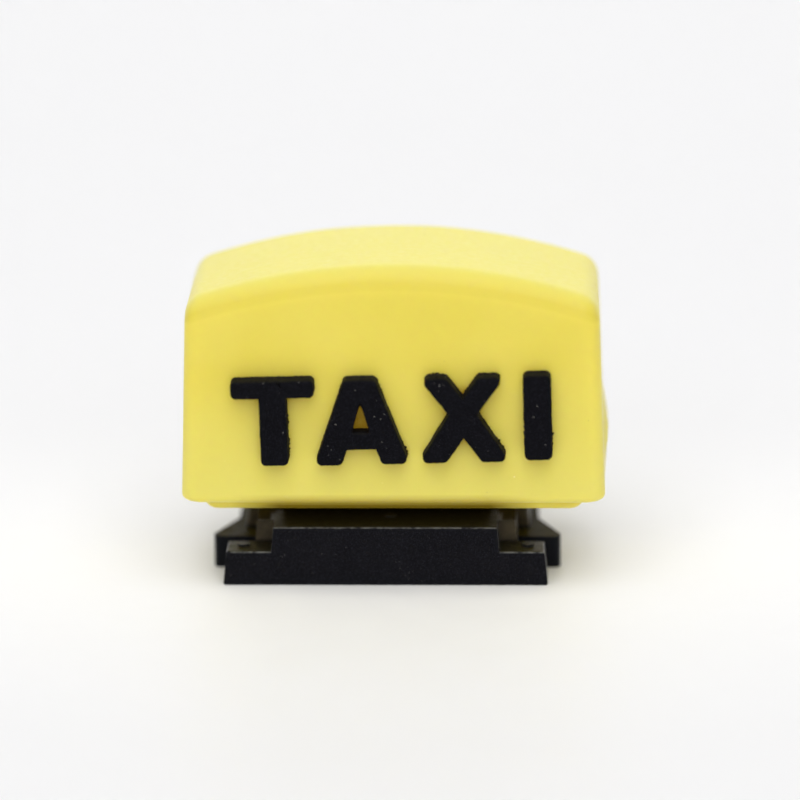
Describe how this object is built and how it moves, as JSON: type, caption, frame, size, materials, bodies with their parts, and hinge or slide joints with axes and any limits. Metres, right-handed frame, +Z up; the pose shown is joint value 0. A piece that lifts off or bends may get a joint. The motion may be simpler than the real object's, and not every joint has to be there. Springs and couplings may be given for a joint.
{
  "type": "miniature taxi roof sign",
  "caption": "Small crowned roof sign: translucent yellow shell with raised black block letters, on a black T-foot that slides into a T-slot, with a cell-powered light unit and slide switch.",
  "frame": {"origin": "middle of the foot's flat underside, where the sign stands", "axes": "+X along the sign to the reader's right, +Y from the front face to the back, +Z up"},
  "size_m": [0.0225, 0.0126, 0.0175],
  "materials": {
    "yellow_lens": "moulded, translucent",
    "yellow_base": "moulded, satin",
    "letter_black": "matte",
    "black_moulding": "grained, worn edges",
    "board_laminate": "solder mask",
    "cradle_plastic": "moulded",
    "cell_steel": "brushed",
    "contact_brass": "bare",
    "contact_steel": "spring steel",
    "lamp_glass": "clear, warm white",
    "resistor_coat": "lacquered",
    "switch_plastic": "moulded",
    "knob_plastic": "moulded",
    "terminal_tin": "tinned",
    "screw_steel": "zinc"
  },
  "bodies": {
    "base": {"shoe_foot": "black_moulding", "base_cover": "yellow_base", "circuit_board": "board_laminate", "battery_cradle": "cradle_plastic", "battery_cell_left": "cell_steel", "battery_cell_middle": "cell_steel", "battery_cell_right": "cell_steel", "positive_contact": "contact_brass", "negative_contact": "contact_steel", "led_left": "lamp_glass", "led_right": "lamp_glass", "resistor": "resistor_coat", "switch_body": "switch_plastic", "switch_terminals": "terminal_tin", "foot_screws": "screw_steel", "board_screws": "screw_steel"},
    "shell": {"lamp_shell": "yellow_lens", "front_letter_t": "letter_black", "front_letter_a": "letter_black", "front_letter_x": "letter_black", "front_letter_i": "letter_black", "rear_letter_t": "letter_black", "rear_letter_a": "letter_black", "rear_letter_x": "letter_black", "rear_letter_i": "letter_black"},
    "switch": {"switch_slider": "knob_plastic"}
  },
  "joints": [
    {"name": "shell_lift", "type": "slide", "parent": "base", "child": "shell", "axis": [0, 0, 1], "range_m": [0, 0.014]},
    {"name": "switch_slide", "type": "slide", "parent": "base", "child": "switch", "axis": [1, 0, 0], "range_m": [0, 0.002]}
  ]
}
